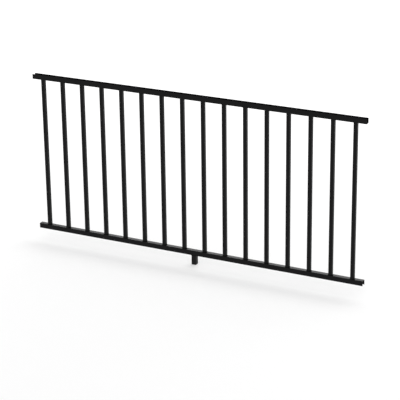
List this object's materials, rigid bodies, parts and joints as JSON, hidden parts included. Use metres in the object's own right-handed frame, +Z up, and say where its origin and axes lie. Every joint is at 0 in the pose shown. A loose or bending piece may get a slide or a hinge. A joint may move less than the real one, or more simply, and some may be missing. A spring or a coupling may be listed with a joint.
{
  "type": "deck railing section",
  "caption": "Straight black steel deck railing panel: square balusters welded between two channel rails, with a short support foot under the middle of the bottom rail.",
  "frame": {"origin": "centre of the foot's underside, on the deck", "axes": "+X along the rails, towards the right seen from the front, -Y the front, +Z up"},
  "size_m": [1.8288, 0.0254, 0.8953],
  "materials": {
    "powder_coat": "satin black powder coat with a fine grain",
    "cap_plastic": "matte moulded black plastic"
  },
  "bodies": {
    "root": {"top_rail": "powder_coat", "bottom_rail": "powder_coat", "baluster_01": "powder_coat", "baluster_02": "powder_coat", "baluster_03": "powder_coat", "baluster_04": "powder_coat", "baluster_05": "powder_coat", "baluster_06": "powder_coat", "baluster_07": "powder_coat", "baluster_08": "powder_coat", "baluster_09": "powder_coat", "baluster_10": "powder_coat", "baluster_11": "powder_coat", "baluster_12": "powder_coat", "baluster_13": "powder_coat", "baluster_14": "powder_coat", "baluster_15": "powder_coat", "baluster_16": "powder_coat", "support_foot": "powder_coat", "foot_cap": "cap_plastic"}
  },
  "joints": []
}
